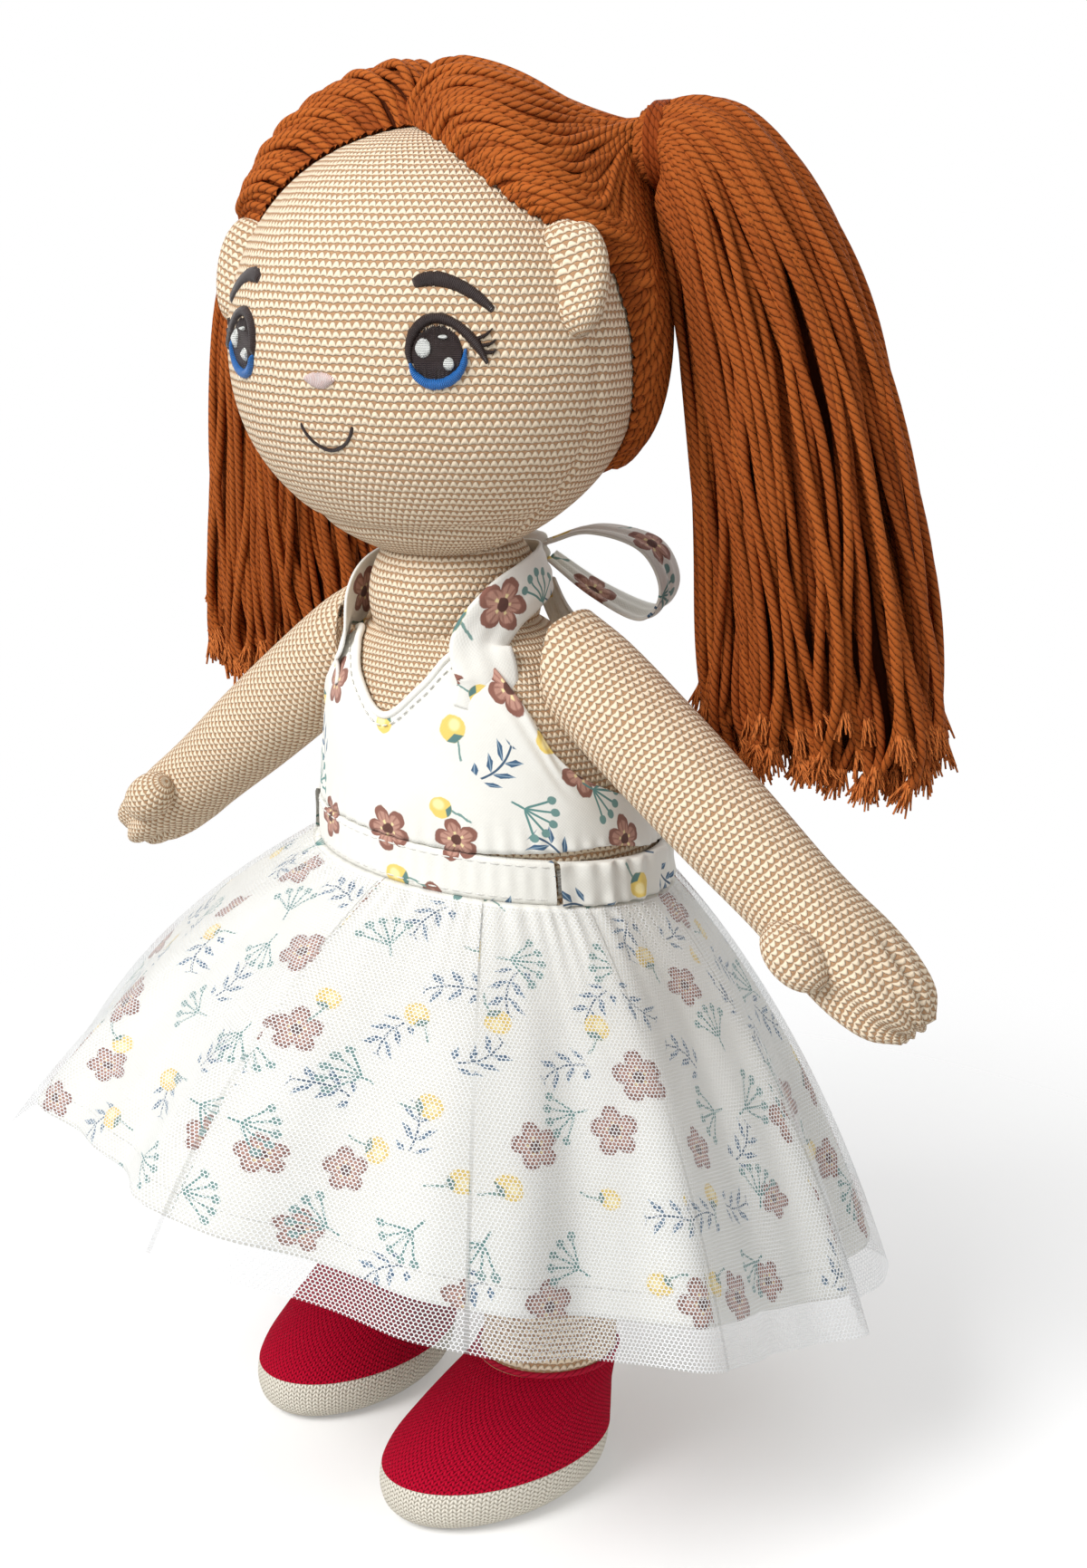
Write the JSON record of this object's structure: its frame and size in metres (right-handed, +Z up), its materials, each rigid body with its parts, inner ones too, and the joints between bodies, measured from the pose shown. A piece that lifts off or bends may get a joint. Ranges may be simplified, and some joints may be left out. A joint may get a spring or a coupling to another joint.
{
  "type": "knitted doll",
  "caption": "Soft knitted standing doll with long yarn pigtails, a cotton halter dress with a tulle overskirt and knitted shoes.",
  "frame": {"origin": "on the floor, midway between the outermost sides of the doll both ways", "axes": "+Z up along the standing doll, the face looks towards -Y, the doll's left hand is at +X"},
  "size_m": [0.2685, 0.2326, 0.355],
  "materials": {
    "knit": "matte",
    "stuffing": "matte",
    "yarn": "matte",
    "cotton": "matte",
    "tulle": "matte",
    "elastic": "matte",
    "tie_band": "matte",
    "crimson": "matte",
    "cream": "matte",
    "dark_thread": "matte",
    "pink_thread": "matte"
  },
  "bodies": {
    "torso": {"torso_skin": "knit", "torso_filling": "stuffing", "bodice": "cotton", "neckline_piping": "cotton", "waistband_front": "cotton", "waist_elastic": "elastic", "waist_casing_back": "cotton", "halter_knot": "cotton", "halter_strap_left": "cotton", "halter_strap_right": "cotton", "bow_loop_left": "cotton", "bow_loop_right": "cotton", "bow_tail_left": "cotton", "bow_tail_right": "cotton", "cotton_skirt": "cotton", "tulle_skirt": "tulle"},
    "neck": {"neck_skin": "knit", "neck_filling": "stuffing"},
    "head": {"head_skin": "knit", "head_filling": "stuffing", "ear_left": "knit", "ear_right": "knit", "eye_stitching_left": "dark_thread", "eye_stitching_right": "dark_thread", "brow_stitching_left": "dark_thread", "brow_stitching_right": "dark_thread", "nose_stitching": "pink_thread", "mouth_stitching": "dark_thread", "hair_cap": "yarn"},
    "pigtail_left": {"pigtail_left": "yarn", "hair_tie_left": "tie_band"},
    "pigtail_right": {"pigtail_right": "yarn", "hair_tie_right": "tie_band"},
    "arm_left": {"arm_skin_left": "knit", "arm_filling_left": "stuffing"},
    "arm_right": {"arm_skin_right": "knit", "arm_filling_right": "stuffing"},
    "leg_left": {"leg_skin_left": "knit", "leg_filling_left": "stuffing", "shoe_upper_left": "crimson", "shoe_sole_left": "cream"},
    "leg_right": {"leg_skin_right": "knit", "leg_filling_right": "stuffing", "shoe_upper_right": "crimson", "shoe_sole_right": "cream"}
  },
  "joints": [
    {"name": "neck_nod", "type": "hinge", "parent": "torso", "child": "neck", "pos_m": [0, -0.007, 0.232], "axis": [1, 0, 0], "range_deg": [-6, 8]},
    {"name": "head_turn", "type": "hinge", "parent": "neck", "child": "head", "pos_m": [0, -0.007, 0.25], "axis": [0, 0, 1], "range_deg": [-4, 5]},
    {"name": "pigtail_left_swing", "type": "hinge", "parent": "head", "child": "pigtail_left", "pos_m": [0.05, 0.01, 0.339], "axis": [0, -1, 0], "range_deg": [0, 60]},
    {"name": "pigtail_right_swing", "type": "hinge", "parent": "head", "child": "pigtail_right", "pos_m": [-0.0525, 0.0055, 0.337], "axis": [0, 1, 0], "range_deg": [0, 60]},
    {"name": "arm_left_swing", "type": "hinge", "parent": "torso", "child": "arm_left", "pos_m": [0.039, -0.003, 0.215], "axis": [-1, 0, 0], "range_deg": [0, 100]},
    {"name": "arm_right_swing", "type": "hinge", "parent": "torso", "child": "arm_right", "pos_m": [-0.039, -0.003, 0.215], "axis": [-1, 0, 0], "range_deg": [0, 100]},
    {"name": "leg_left_swing", "type": "hinge", "parent": "torso", "child": "leg_left", "pos_m": [0.021, 0.006, 0.118], "axis": [-1, 0, 0], "range_deg": [-20, 40]},
    {"name": "leg_right_swing", "type": "hinge", "parent": "torso", "child": "leg_right", "pos_m": [-0.021, 0.006, 0.118], "axis": [-1, 0, 0], "range_deg": [-20, 40]}
  ]
}
